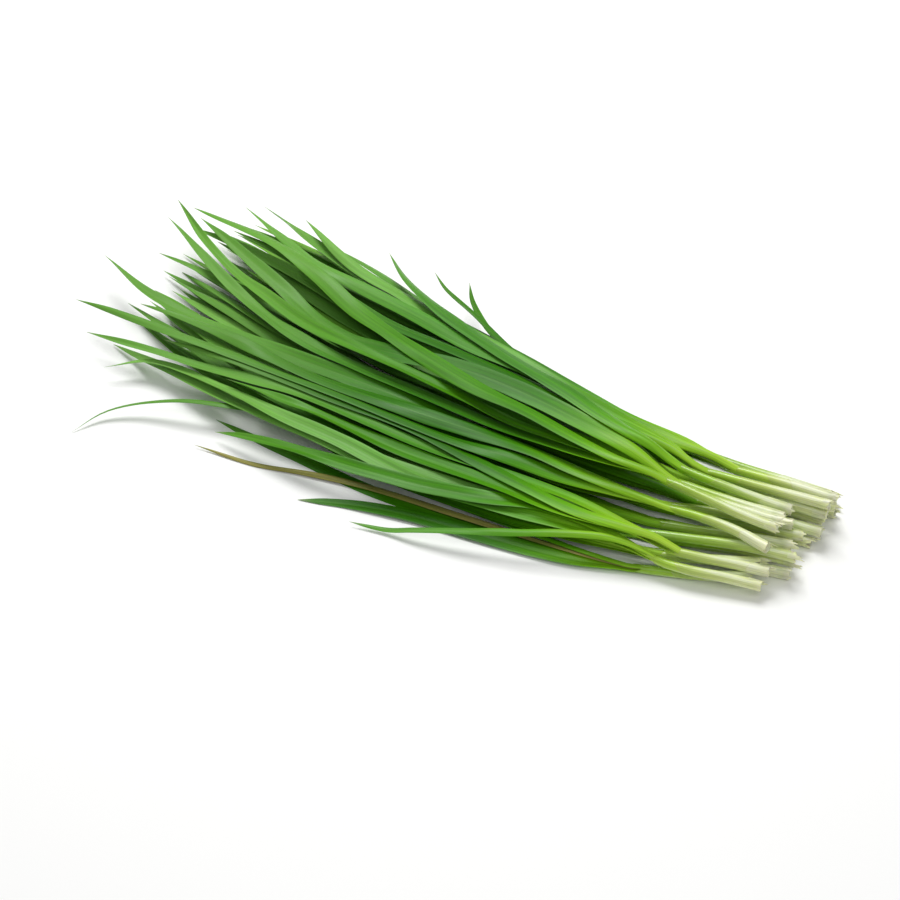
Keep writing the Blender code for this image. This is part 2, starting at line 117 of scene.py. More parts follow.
SHIFT_X = (-200, 50)
TIP_SHIFT = (2.5, -4)
STEM_SHIFT = (5, -8)
UPPER_SHOOTS = [
    ([(181, 52), (150, 51), (124, 50)], [
        dict(width=5, tip_lift=3, route=[(90, 53), (50, 58), (10, 68), (-20, 80), (-45, 103), (-58, 121)]),
        dict(width=9, tip_lift=2, route=[(100, 55), (60, 55), (0, 68), (-60, 84), (-100, 97), (-137, 106)]),
        dict(width=9, tip_lift=5, route=[(90, 51), (50, 52), (10, 60), (-30, 70), (-80, 80), (-140, 100),
                                         (-192, 120)]),
    ]),
    ([(182, 42), (150, 39), (132, 38), (114, 37)], [
        dict(width=5, tip_lift=4, route=[(80, 45), (40, 52), (0, 66), (-30, 82), (-58, 98), (-75, 113)]),
        dict(width=9, tip_lift=3, route=[(96, 45), (70, 49), (20, 57), (-30, 69), (-80, 81), (-120, 93),
                                         (-158, 113)]),
        dict(width=8, tip_lift=3, route=[(96, 41), (60, 42), (20, 46), (-20, 50), (-60, 57), (-110, 68),
                                         (-170, 84), (-206, 89)]),
    ]),
    ([(171, -11), (152, -16), (136, -20), (116, -22)], [
        dict(width=8.5, route=[(90, -23), (50, -30), (0, -34), (-40, -32), (-80, -31), (-120, -26),
                               (-165, -22), (-187, -36)]),
        dict(width=8.5, tip_lift=2, route=[(100, -21), (63, -22), (38, -30), (0, -38), (-30, -43),
                                           (-70, -45), (-110, -46)]),
        dict(width=4.5, tip_lift=2, route=[(97, -26), (77, -34), (57, -43), (17, -57), (-18, -66)]),
    ]),
    ([(166, 23), (140, 22), (118, 23), (104, 25)], [
        dict(width=8.5, tip_lift=3, route=[(80, 30), (50, 35), (10, 41), (-20, 44), (-60, 52), (-110, 66),
                                           (-170, 78), (-215, 83)]),
        dict(width=8.5, tip_lift=4, route=[(80, 32), (40, 40), (0, 46), (-40, 52), (-80, 59), (-130, 75),
                                           (-165, 97)]),
    ]),
    ([(172, -5), (155, -9), (140, -13), (124, -16)], [
        dict(width=9, tip_lift=2, route=[(100, -19), (60, -22), (20, -21), (-20, -21), (-60, -22),
                                         (-95, -23), (-118, -23)]),
        dict(width=8.5, tip_lift=3, route=[(100, -15), (70, -11), (40, -10), (0, -13), (-60, -14),
                                           (-100, -15), (-150, -18), (-210, -20)]),
        dict(width=8, tip_lift=4, route=[(100, -19), (80, -20), (60, -18), (20, -11), (-20, -6), (-60, -8),
                                         (-100, -9), (-165, -12)]),
    ]),
    ([(168, 17), (150, 16), (130, 16.5), (110, 18.5)], [
        dict(width=8.5, tip_lift=4, route=[(80, 22), (40, 26), (0, 31), (-50, 32), (-100, 38), (-150, 48),
                                           (-218, 55)]),
        dict(width=11, tip_lift=3, route=[(90, 23), (60, 28), (20, 34), (-20, 36), (-60, 33), (-100, 43),
                                          (-140, 60), (-212, 87)]),
    ]),
    ([(167, 31), (150, 29), (130, 28), (108, 28.5)], [
        dict(width=8.5, tip_lift=4, route=[(90, 33), (60, 41), (20, 50), (-20, 57), (-60, 67), (-100, 75),
                                           (-140, 82), (-193, 104)]),
        dict(width=9.5, tip_lift=3, route=[(80, 32), (60, 37), (40, 44), (0, 56), (-40, 70), (-60, 79),
                                           (-80, 91), (-102, 110)]),
    ]),
    ([(168, 0), (150, 4), (130, 5.5), (112, 5)], [
        dict(width=10, tip_lift=12, route=[(80, 6), (40, 8), (0, 10), (-60, 10), (-100, 12), (-150, 15),
                                           (-200, 20), (-241, 36)]),
        dict(width=8, tip_lift=3, route=[(80, 3), (60, 1.5), (20, -2.5), (-20, -4), (-60, -5), (-110, -6),
                                         (-160, -8), (-230, -3)]),
        dict(width=9.5, tip_lift=4, route=[(80, 6), (45, 7), (20, 6), (-20, 3), (-60, 1), (-100, 0),
                                           (-150, 4), (-195, 8)]),
    ]),
    ([(168, 10), (150, 10), (130, 11.5), (106, 13)], [
        dict(width=9, tip_lift=7, route=[(80, 12), (40, 14), (0, 15), (-60, 18), (-100, 23), (-140, 36),
                                         (-180, 54), (-230, 80)]),
        dict(width=8, tip_lift=5, route=[(80, 14), (40, 17), (0, 20), (-60, 25), (-100, 32), (-140, 46),
                                         (-195, 70), (-234, 96)]),
        dict(width=10, tip_lift=5, route=[(80, 15), (40, 20), (0, 25), (-40, 37), (-80, 51), (-120, 67),
                                          (-160, 80), (-222, 94)]),
    ]),
]


class Heap:
    """Height of the heap over the plan grid, raised as each piece is laid on it."""

    def __init__(self):
        columns = round((GRID_X[1] - GRID_X[0]) / CELL)
        rows = round((GRID_Y[1] - GRID_Y[0]) / CELL)
        self.top = np.full((columns, rows), -CLEARANCE)

    def cells(self, x, y):
        return ((x - GRID_X[0]) / CELL).astype(int), ((y - GRID_Y[0]) / CELL).astype(int)

    def height(self, x, y):
        return self.top[self.cells(x, y)]

    def lay(self, x, y, z):
        np.maximum.at(self.top, self.cells(x, y), z)


def smooth_curve(points, fractions):
    """Plan places at the given parts of the length of a smooth curve through the points."""
    knots = [Vector((x, y, 0.0)) for x, y in points]
    spans = [(b - a).length for a, b in zip(knots, knots[1:])]
    slopes = [(knots[1] - knots[0]) / spans[0]]
    for i in range(1, len(knots) - 1):
        slopes.append((knots[i + 1] - knots[i - 1]) / (spans[i - 1] + spans[i]))
    slopes.append((knots[-1] - knots[-2]) / spans[-1])
    dense = []
    for i, span in enumerate(spans):
        first = knots[i] + slopes[i] * span / 3
        second = knots[i + 1] - slopes[i + 1] * span / 3
        dense += interpolate_bezier(knots[i], first, second, knots[i + 1], 16)
    dense = np.array(dense)[:, :2]
    along = np.concatenate(([0.0], np.cumsum(np.hypot(*np.diff(dense, axis=0).T))))
    wanted = np.array(fractions) * along[-1]
    places = np.column_stack([np.interp(wanted, along, dense[:, axis]) for axis in (0, 1)])
    return places, wanted


def sideways_of(places, along):
    """Level directions across a plan curve, to the left of its way."""
    ahead = np.gradient(places, along, axis=0)
    ahead /= np.linalg.norm(ahead, axis=1)[:, None]
    return np.column_stack((-ahead[:, 1], ahead[:, 0]))


class Strip:
    """A stretch of stem or leaf: places in plan, half widths, sideways slopes and heights."""

    def __init__(self, points, fractions, half_widths):
        self.points = points
        self.places, self.along = smooth_curve(points, fractions)
        self.sideways = sideways_of(self.places, self.along)
        self.half_widths = np.array(half_widths)
        self.roll = np.zeros(len(fractions))
        self.heights = np.zeros(len(fractions))
        self.dense = np.linspace(0.0, self.along[-1], max(2, int(self.along[-1] / SAMPLE_STEP)))

    def at_dense(self, values):
        return np.interp(self.dense, self.along, values)

    def samples(self, margin):
        """Plan grid of points over the strip and a margin beside it, with the distance sideways."""
        half = self.at_dense(self.half_widths) + margin
        across = np.linspace(-1.0, 1.0, int(2 * half.max() / SAMPLE_STEP) + 2)
        offset = half[:, None] * across[None, :]
        x = self.at_dense(self.places[:, 0])[:, None] + self.at_dense(self.sideways[:, 0])[:, None] * offset
        y = self.at_dense(self.places[:, 1])[:, None] + self.at_dense(self.sideways[:, 1])[:, None] * offset
        return x, y, offset

    def settle(self, needed, bend_radius, root=None, rise=None):
        """Lay the strip over the needed heights without a bend sharper than bend_radius."""
        bend_radius = self.at_dense(bend_radius)
        steps = self.dense[:, None] - self.dense[None, ::4]
        sag = steps ** 2 / (2 * bend_radius[:, None])
        laid = np.maximum(needed, (needed[None, ::4] - sag).max(axis=1))
        if root is not None:
            laid = np.maximum(laid, root - self.dense ** 2 / (2 * bend_radius))
            laid = np.maximum(needed, np.minimum(laid, root + rise * self.dense))
        heights = np.interp(self.along, self.dense, laid)
        if root is not None:
            heights[0] = root
        for _ in range(12):
            short = needed - np.interp(self.dense, self.along, heights)
            for i in range(len(heights) - 1):
                inside = (self.dense >= self.along[i]) & (self.dense <= self.along[i + 1])
                if not inside.any():
                    continue
                worst = np.argmax(np.where(inside, short, -1.0))
                if short[worst] <= 0:
                    continue
                part = (self.dense[worst] - self.along[i]) / (self.along[i + 1] - self.along[i])
                weight = (1 - part) ** 2 + part ** 2
                heights[i] += short[worst] * (1 - part) / weight
                heights[i + 1] += short[worst] * part / weight
        self.heights = heights


class Stem(Strip):
    """Round stem, laid as an eight-sided bar that stands on a side."""

    def __init__(self, points):
        taper = np.interp(STEM_STATIONS, (0.0, 1.0), (1.0, SHEATH_TAPER))
        super().__init__(points, STEM_STATIONS, STEM_WIDTH / 2 * taper)
        self.half_heights = STEM_HEIGHT / 2 * taper

    def depth(self, offset):
        """Half height of the section at a distance from its middle."""
        corner = math.tan(math.pi / STEM_SIDES)
        out = np.maximum(0.0, np.abs(offset) - STEM_MARGIN) / self.at_dense(self.half_widths)[:, None]
        fall = np.clip((out - corner) / (1 - corner), 0.0, 1.0)
        return self.at_dense(self.half_heights)[:, None] * (1 - (1 - corner) * fall)

    def needed_below(self, heap):
        """Lowest heights for the stem's underside."""
        x, y, offset = self.samples(STEM_MARGIN)
        middle = (heap.height(x, y) + CLEARANCE + self.depth(offset)).max(axis=1)
        return middle - self.at_dense(self.half_heights)

    def lay_on(self, heap):
        x, y, offset = self.samples(STEM_MARGIN)
        heap.lay(x, y, self.at_dense(self.heights)[:, None] + self.depth(offset))


class Leaf(Strip):
    """Flat leaf with its level in the stack at the stem's end, from -1 for the lowest to 1."""

    def __init__(self, points, data):
        widest = data["width"] * MM
        super().__init__(points, LEAF_STATIONS, np.array(LEAF_OUTLINE) * widest / 2)
        self.widest = widest
        self.dry = data.get("dry", 0)
        free = np.clip((np.array(LEAF_STATIONS) - FREE_FROM) / (1 - FREE_FROM), 0.0, 1.0)
        tip_lift = data.get("tip_lift", 0.0) * MM
        arch = data.get("arch", 0.0) * MM
        self.lift = tip_lift * free ** 2 + arch * np.sin(math.pi * free)
        pressed = BURIED_BEND_RADIUS if "choices" in data else LEAF_BEND_RADIUS
        self.bend_radius = pressed + (TIP_BEND_RADIUS - pressed) * free ** 2

    def lean(self, heap):
        """Tilt the leaf sideways with the heap below it."""
        x, y, offset = self.samples(EDGE_MARGIN)
        below = heap.height(x, y)
        above_mean = below - below.mean(axis=1, keepdims=True)
        slope = (above_mean * offset).sum(axis=1) / (offset ** 2).sum(axis=1)
        window = np.hanning(2 * int(LEAN_WINDOW / 2 / SAMPLE_STEP) + 1)
        reach = len(window) // 2
        padded = np.pad(slope, reach, mode="edge")
        evened = np.convolve(padded, window / window.sum(), mode="valid")
        settled = np.interp(self.along, self.dense, evened) * LEAN
        begun = np.clip(self.along / LEAN_START, 0.0, 1.0)
        self.roll = np.clip(settled, -STEEPEST_ROLL, STEEPEST_ROLL) * begun

    def needed(self, heap):
        """Lowest heights for the leaf's middle line."""
        x, y, offset = self.samples(EDGE_MARGIN)
        tilt = self.at_dense(self.roll)[:, None] * offset
        return (heap.height(x, y) + CLEARANCE + LEAF_THICKNESS / 2 - tilt).max(axis=1)

    def lay_on(self, heap, start=0.0):
        x, y, offset = self.samples(EDGE_MARGIN)
        tilt = self.at_dense(self.roll)[:, None] * offset
        z = self.at_dense(self.heights)[:, None] + LEAF_THICKNESS / 2 + tilt
        beyond = self.dense >= start
        heap.lay(x[beyond], y[beyond], z[beyond])


def lane(place, x):
    """Plan point at x on the line that keeps to one place across the fan. All in millimetres."""
    near = np.interp(x, *zip(*NEAR_EDGE))
    far = np.interp(x, *zip(*FAR_EDGE))
    return (x, near + place * (far - near))


def in_metres(points):
    return [(x * MM, y * MM) for x, y in points]


def shifted(points):
    """Plan points of an upper shoot, moved a little to lie over the lower layers."""
    moved = []
    for x, y in points:
        moved.append((x + np.interp(x, SHIFT_X, (TIP_SHIFT[0], STEM_SHIFT[0])),
                      y + np.interp(x, SHIFT_X, (TIP_SHIFT[1], STEM_SHIFT[1]))))
    return moved


def shifted_shoots():
    """Upper shoots where they lie on the heap."""
    shoots = []
    for stem, leaves in UPPER_SHOOTS:
        shoots.append((shifted(stem), [dict(leaf, route=shifted(leaf["route"])) for leaf in leaves]))
    return shoots


def leaf_route(rng, start, place):
    """Plan points of a leaf that drifts a little across the fan on its way to the tip."""
    tip_x = rng.triangular(*TIPS_X, COMMONEST_TIP_X)
    aim = rng.uniform(max(0.0, place - LEAF_DRIFT), min(1.0, place + LEAF_DRIFT))
    points = []
    for part in ROUTE_PARTS:
        x = start[0] + part * (tip_x - start[0])
        points.append(lane(place + (aim - place) * part, x))
    return points


def drawn_shoots():
    """Lower shoots placed by rule, in the same form as those given one by one."""
    rng = random.Random(SEED)
    shoots = []
    for count, first, slant in LAYERS:
        for k in range(count):
            place = (k + first) / count
            cut_place = place + rng.uniform(-slant, slant)
            cut_x = rng.uniform(*CUT_ENDS_X)
            collar_x = rng.uniform(*COLLARS_X)
            middle = lane(0.5 * (place + cut_place), 0.5 * (cut_x + collar_x))
            stem = [lane(cut_place, cut_x), middle, lane(place, collar_x)]
            leaves = []
            for _ in range(rng.choice(LEAVES_PER_SHOOT)):
                choices = [leaf_route(rng, stem[-1], place) for _ in range(LEAF_CHOICES)]
                leaves.append(dict(width=rng.uniform(*LEAF_WIDTHS), tip_lift=rng.uniform(0, LOWER_TIP_LIFT),
                                   choices=choices))
            shoots.append((stem, leaves))
    return shoots


def lay_shoot(heap, stem_points, leaf_data):
    """Lay one shoot on the heap."""
    stem = Stem(in_metres(stem_points))
    stem_needed = stem.needed_below(heap)
    end = np.array(stem_points[-1]) * MM
    before = np.array(stem_points[-2]) * MM
    root_place = end + (before - end) * ROOT_DEPTH / np.linalg.norm(before - end)
    pitch = LEAF_THICKNESS + CLEARANCE
    levels = [(k - (len(leaf_data) - 1) / 2) * pitch for k in range(len(leaf_data))]
    leaves = []
    lowest_end = 0.0
    for data, level in zip(leaf_data, levels):
        choices = []
        for route in data.get("choices") or [data["route"]]:
            choice = Leaf([tuple(root_place), tuple(end)] + in_metres(route), data)
            choice.lean(heap)
            choices.append(choice)
        leaf = min(choices, key=lambda choice: choice.needed(heap).mean())
        leaf.rank = level / levels[-1]
        leaves.append(leaf)
        limit = leaf.needed(heap) - STEEPEST_RISE * leaf.dense - level
        near = (leaf.dense > ROOT_DEPTH) & (leaf.dense < RISING_LENGTH)
        lowest_end = max(lowest_end, limit[near].max())
    stem_needed[-1] = max(stem_needed[-1], lowest_end - stem.half_heights[-1])
    stem.settle(stem_needed, np.full(len(STEM_STATIONS), STEM_BEND_RADIUS))
    stem.heights += stem.half_heights
    root_height = np.interp(stem.along[-1] - ROOT_DEPTH, stem.along, stem.heights)
    for leaf, level in zip(leaves, levels):
        leaf.lean(heap)
        needed = leaf.needed(heap)
        needed[leaf.dense <= ROOT_DEPTH] = -1.0
        leaf.settle(needed, leaf.bend_radius, root_height + level, STEEPEST_RISE)
        leaf.heights += leaf.lift
        leaf.lay_on(heap, ROOT_DEPTH)
    for leaf in leaves:
        leaf.lay_on(heap)
    stem.lay_on(heap)
    return stem, leaves


heap = Heap()
shoots = [lay_shoot(heap, *data) for data in [NEAREST_SHOOT] + drawn_shoots() + shifted_shoots()]

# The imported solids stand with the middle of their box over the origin, so the plan is moved by as much
edges = []
for stem, leaves in shoots:
    corner = STEM_WIDTH / 2 * np.array([1.0, -1.0])[:, None]
    edges += list(stem.places[0] + stem.sideways[0] * corner)
    for leaf in leaves:
        half = leaf.half_widths[:, None]
        edges += list(leaf.places + leaf.sideways * half)
        edges += list(leaf.places - leaf.sideways * half)
plan_shift = -(np.min(edges, axis=0) + np.max(edges, axis=0)) / 2


# Mesh of a shoot
# A shoot grows as one thing, so it is one mesh: rows of points round its stem and its blades. Each point
# carries what the finishes need: how far it is from the cut, from the tip and from the leaf's middle.
def smooth(stations, values, wanted):
    """Values at the wanted distances, on a smooth curve through those at the stations."""
    values = np.asarray(values, dtype=float)
    slopes = np.gradient(values, stations)
    i = np.clip(np.searchsorted(stations, wanted, side="right") - 1, 0, len(stations) - 2)
    span = stations[i + 1] - stations[i]
    part = np.clip((wanted - stations[i]) / span, 0.0, 1.0)
    start = (1 + 2 * part) * (1 - part) ** 2 * values[i] + part * (1 - part) ** 2 * span * slopes[i]
    end = part ** 2 * (3 - 2 * part) * values[i + 1] - part ** 2 * (1 - part) * span * slopes[i + 1]
    return start + end


class ShootMesh:
    """Points, faces and values of one shoot as it is put together."""

    def __init__(self, tone):
        self.tone = tone
        self.points = []
        self.faces = []
        self.finishes = []
        self.values = {"from_cut": [], "to_tip": [], "tone": [], "upper": [], "layer": []}
        self.grain = []
        self.count = 0

    def add_rows(self, points, finish, grain, **values):
        """Add a closed tube of rows of points, each row joined to the next and the last ones filled."""
        rows, around = points.shape[:2]
        index = self.count + np.arange(rows * around).reshape(rows, around)
        after = np.roll(index, -1, axis=1)
        quads = np.stack([index[:-1], after[:-1], after[1:], index[1:]], axis=-1).reshape(-1, 4)
        finish = np.broadcast_to(finish, rows)
        self.faces += quads.tolist() + [index[0][::-1].tolist(), index[-1].tolist()]
        self.finishes += np.repeat(finish[:-1], around).tolist() + [int(finish[0]), int(finish[-1])]
        self.points.append(points.reshape(-1, 3))
        self.grain.append(grain.reshape(-1, 3))
        for name, kept in self.values.items():
            given = values.get(name, self.tone if name == "tone" else 0.0)
            kept.append(np.broadcast_to(given, (rows, around)).ravel())
        self.count += rows * around

    def piece(self, name, materials):
        """The mesh as an object in the scene, kept inside the solids' box."""
        points = np.concatenate(self.points)
        points[:, :2] += plan_shift
        points = np.clip(points, np.array(cad_low), np.array(cad_high))
        mesh = bpy.data.meshes.new(name)
        mesh.from_pydata(points.tolist(), [], self.faces)
        for value_name, kept in self.values.items():
            attribute = mesh.attributes.new(value_name, "FLOAT", "POINT")
            attribute.data.foreach_set("value", np.concatenate(kept).astype(np.float32))
        attribute = mesh.attributes.new("grain", "FLOAT_VECTOR", "POINT")
        attribute.data.foreach_set("vector", np.concatenate(self.grain).astype(np.float32).ravel())
        for material in materials:
            mesh.materials.append(material)
        mesh.polygons.foreach_set("material_index", np.array(self.finishes, dtype=np.int32))
        mesh.shade_smooth()
        mesh.set_sharp_from_angle(angle=math.radians(50))
        piece = bpy.data.objects.new(name, mesh)
        bpy.context.scene.collection.objects.link(piece)
        return piece


BLADE, SHEATH, CUT = 0, 1, 2


# Leaf blades
# Each blade is a flat strap of soft tissue, thickest at its midrib and thin at its edges, with a shallow
# keel. Its base is rolled round the younger leaves inside the sheath and opens flat as it leaves them.
BLADE_SECTIONS = 76
ACROSS = np.array([1.0, 0.95, 0.72, 0.44, 0.17, 0.0, -0.17, -0.44, -0.72, -0.95, -1.0])
BLADE_THICKNESS = 0.5 * MM
BASE_THICKNESS = 0.8 * MM
TIP_OUTLINE = LEAF_OUTLINE[:-1] + (0.02,)
BASE_ROLL_RADIUS = 2.5 * MM
BASE_ROLL_LENGTH = 26 * MM
OPENING_LENGTH = 60 * MM
WAVE_LENGTHS = (70 * MM, 160 * MM)
EDGE_WAVE_LENGTHS = (20 * MM, 60 * MM)
SIDE_WAVE = 0.4 * MM
FREE_WAVE = 0.3 * MM
PRESSED_WAVE = 0.1 * MM
FREE_KEEL = (0.7, 1.5)
PRESSED_KEEL = (0.3, 0.7)
FREE_TURN = 0.7
PRESSED_TURN = 0.25
TURN_FROM = 0.62
UPSIDE_DOWN_SHARE = 0.3


def wobble(rng, distance, shortest, longest, size):
    """A gentle random wave along a leaf."""
    wave = np.zeros_like(distance)
    for _ in range(3):
        length = rng.uniform(shortest, longest)
        wave += np.sin(2 * math.pi * (distance / length + rng.random())) * size / 3
    return wave


def add_blade(mesh, leaf, stem_length, free, rng):
    """Add a leaf. A free one has nothing above it, so its keel is deeper and its tip turns more."""
    share = np.linspace(0.0, 1.0, BLADE_SECTIONS)
    places, along = smooth_curve(leaf.points, share)
    sideways = sideways_of(places, along)
    opened = np.clip(along / OPENING_LENGTH, 0.0, 1.0)
    places = places + sideways * (wobble(rng, along, *WAVE_LENGTHS, SIDE_WAVE) * opened)[:, None]
    heights = smooth(leaf.along, leaf.heights, along)
    heights += wobble(rng, along, *WAVE_LENGTHS, FREE_WAVE if free else PRESSED_WAVE) * opened
    turned = rng.random() < UPSIDE_DOWN_SHARE
    most_turn = FREE_TURN if free else PRESSED_TURN
    turn = rng.uniform(-most_turn, most_turn)
    turn = turn * np.clip((share - TURN_FROM) / (1 - TURN_FROM), 0.0, 1.0) ** 2
    roll = np.arctan(smooth(leaf.along, leaf.roll, along)) + turn

    half = leaf.widest / 2 * smooth(np.array(LEAF_STATIONS), TIP_OUTLINE, share)
    half *= 1 + wobble(rng, along, *EDGE_WAVE_LENGTHS, 0.03)
    base = np.exp(-np.clip(along - ROOT_DEPTH, 0.0, None) ** 2 / BASE_ROLL_LENGTH ** 2)
    half *= 1 - base * 0.22 * (1 - abs(leaf.rank))
    bend = base * -leaf.rank / BASE_ROLL_RADIUS + 1e-3
    arc = half[:, None] * ACROSS
    angle = bend[:, None] * arc
    middle_y = np.sin(angle) / bend[:, None]
    keel = rng.uniform(*(FREE_KEEL if free else PRESSED_KEEL))
    keel = -min(keel, 0.5) if turned else keel
    keel_depth = keel * MM * (1 - base) * np.clip(half / (3 * MM), 0, 1)
    fold = np.sqrt(ACROSS ** 2 + 0.01) - 0.5
    middle_z = (1 - np.cos(angle)) / bend[:, None] + keel_depth[:, None] * fold
    thickness = BLADE_THICKNESS + (BASE_THICKNESS - BLADE_THICKNESS) * base
    lens = thickness[:, None] / 2 * (1 - 0.72 * ACROSS ** 2) * np.clip(half / (1.2 * MM), 0.15, 1)[:, None]
    lens[:, [0, -1]] = 0.0

    top_y = middle_y - np.sin(angle) * lens
    top_z = middle_z + np.cos(angle) * lens
    under_y = (middle_y + np.sin(angle) * lens)[:, -2:0:-1]
    under_z = (middle_z - np.cos(angle) * lens)[:, -2:0:-1]
    y = np.concatenate((top_y, under_y), axis=1)
    z = np.concatenate((top_z, under_z), axis=1)
    cos, sin = np.cos(roll)[:, None], np.sin(roll)[:, None]
    level = y * cos - z * sin
    points = np.empty(y.shape + (3,))
    points[..., 0] = places[:, :1] + sideways[:, :1] * level
    points[..., 1] = places[:, 1:] + sideways[:, 1:] * level
    points[..., 2] = heights[:, None] + y * sin + z * cos

    across = np.concatenate((arc, arc[:, -2:0:-1]), axis=1)
    # The upper face is where the blade finish paints a sheen with its bloom colour
    upper = np.concatenate((np.ones_like(top_y), np.zeros_like(under_y)), axis=1)
    from_cut = np.broadcast_to((stem_length - ROOT_DEPTH + along)[:, None], y.shape)
    tone = rng.random()
    grain = np.stack((across, np.full_like(across, tone), from_cut), axis=-1)
    mesh.add_rows(points, BLADE, grain, from_cut=from_cut, to_tip=(along[-1] - along)[:, None],
                  upper=1 - upper if turned else upper, layer=float(leaf.dry))


# Stems and cut ends
# A stem is leaf sheaths rolled into one another, each ending in an oblique rim where its leaf came off.
# The knife has left the ends ragged: rings of sheath round a core, with narrow gaps between them.
STEM_AROUND = 32
TURN = 2 * math.pi * np.arange(STEM_AROUND) / STEM_AROUND
CORE_RADIUS = 0.885
SHEATH_WALL = 0.055
SHEATH_SECTIONS = 30
CORE_SECTIONS = 32
RIM_SLANT = 2.2 * MM
RIM_RAGGEDNESS = 0.4 * MM
CUT_RAGGEDNESS = 0.5 * MM
NECK_LENGTH = 16 * MM
NECK_FLATTENING = 0.14
MOUTH_SLANT = 7.5 * MM
GAP_DEPTH = 1.3 * MM
FLARE = 0.035 / MM
SHRED_REACH = 1.9


def stem_rows(stem, distance, share, turn=TURN):
    """Points at distances from the stem's cut end, turns round it and shares of its radius."""
    places, along = smooth_curve(stem.points, np.linspace(0.0, 1.0, 61))
    sideways = sideways_of(places, along)
    first_step = (places[1] - places[0]) / along[1]
    taper = np.interp(distance, (0.0, along[-1]), (1.0, SHEATH_TAPER))
    neck = np.clip((distance - (along[-1] - NECK_LENGTH)) / NECK_LENGTH, 0.0, 1.0) ** 2
    out = np.cos(turn) * STEM_WIDTH / 2 * taper * share
    up = np.sin(turn) * STEM_HEIGHT / 2 * taper * share * (1 - NECK_FLATTENING * neck)
    points = np.empty(distance.shape + (3,))
    for axis in (0, 1):
        points[..., axis] = np.interp(distance, along, places[:, axis])
        points[..., axis] += np.minimum(distance, 0.0) * first_step[axis]
        points[..., axis] += np.interp(distance, along, sideways[:, axis]) * out
    points[..., 2] = smooth(stem.along, stem.heights, distance) + up
    grain = np.stack((out, up, distance), axis=-1)
    return points, grain


def ragged(rng, size, notches=0.0):
    """Uneven steps round the stem, with a few sharp notches of the given depth."""
    edge = np.zeros(STEM_AROUND)
    for turns in (1, 2, 3, 5, 8):
        wave = np.sin(turns * TURN + rng.uniform(0, 2 * math.pi))
        edge += wave * size * rng.uniform(0.1, 0.5) / turns ** 0.5
    for _ in range(3):
        apart = np.abs((TURN - rng.uniform(0, 2 * math.pi) + math.pi) % (2 * math.pi) - math.pi)
        edge += notches * rng.random() * np.exp(-(apart / rng.uniform(0.12, 0.3)) ** 2)
    return edge


def add_sheath(mesh, stem, inner, end, layer, torn, rng):
    """Add a rolled sheath from its torn edge at the cut end to an oblique rim."""
    outer = inner + SHEATH_WALL
    first = 0.1 * MM + np.abs(ragged(rng, 0.8 * torn, torn))
    last = end + RIM_SLANT * np.cos(TURN - rng.uniform(0, 2 * math.pi)) + ragged(rng, RIM_RAGGEDNESS)
    last = np.minimum(last, stem.along[-1])
    flare = FLARE * torn * np.cos(TURN * rng.choice((1, 2)) + rng.uniform(0, 2 * math.pi))
    distance = [first + 0.1 * MM, first]
    share = [inner + flare, inner + 0.02 + flare]
    for k in range(SHEATH_SECTIONS + 1):
        part = (k / SHEATH_SECTIONS) ** 1.6
        distance.append(first + (last - first) * part)
        share.append(outer + flare * np.exp(-((last - first) * part / (3 * MM)) ** 2))
    distance += [last, last - 0.6 * MM]
    share += [np.full(STEM_AROUND, inner + 0.01), np.full(STEM_AROUND, inner - 0.02)]
    share = np.array(share)
    share[2] -= 0.012
    share[-3] -= 0.012
    points, grain = stem_rows(stem, np.array(distance), share)
    from_cut = np.array(distance)
    mesh.add_rows(points, [CUT, CUT] + [SHEATH] * (len(distance) - 2), grain, from_cut=from_cut,
                  to_tip=np.maximum(0.0, last[None, :] - from_cut), layer=layer)


def add_core(mesh, stem, torn, rng):
    """Add the cut face of rings and gaps, the stem's side up to its neck, and the neck's open mouth."""
    length = stem.along[-1]
    cuts = []
    for _ in range(3):
        cuts.append(0.6 * MM + torn * rng.random() + np.abs(ragged(rng, CUT_RAGGEDNESS, 0.6 * torn)))
    distance = [cuts[2], cuts[2], cuts[2] + GAP_DEPTH, cuts[1] + GAP_DEPTH, cuts[1], cuts[1],
                cuts[1] + GAP_DEPTH, cuts[0] + GAP_DEPTH, cuts[0], cuts[0]]
    share = [0.05, 0.30, 0.33, 0.36, 0.38, 0.58, 0.60, 0.64, 0.66, 0.86]
    side = len(distance)
    slit = MOUTH_SLANT * (1 - np.cos(TURN - rng.uniform(0, 2 * math.pi))) / 2
    mouth = np.minimum(length - 0.3 * MM - slit + ragged(rng, RIM_RAGGEDNESS), length)
    for k in range(1, CORE_SECTIONS + 1):
        distance.append(cuts[0] + 0.2 * MM + (mouth - cuts[0] - 0.2 * MM) * k / CORE_SECTIONS)
        share.append(CORE_RADIUS)
    distance += [mouth, mouth - 4 * MM]
    share += [0.83, 0.80]
    share = np.array(share)[:, None] * np.ones(STEM_AROUND)
    points, grain = stem_rows(stem, np.array(distance), share)
    mesh.add_rows(points, [CUT] * side + [SHEATH] * (len(distance) - side), grain,
                  from_cut=np.array(distance), to_tip=1.0, layer=0.0)


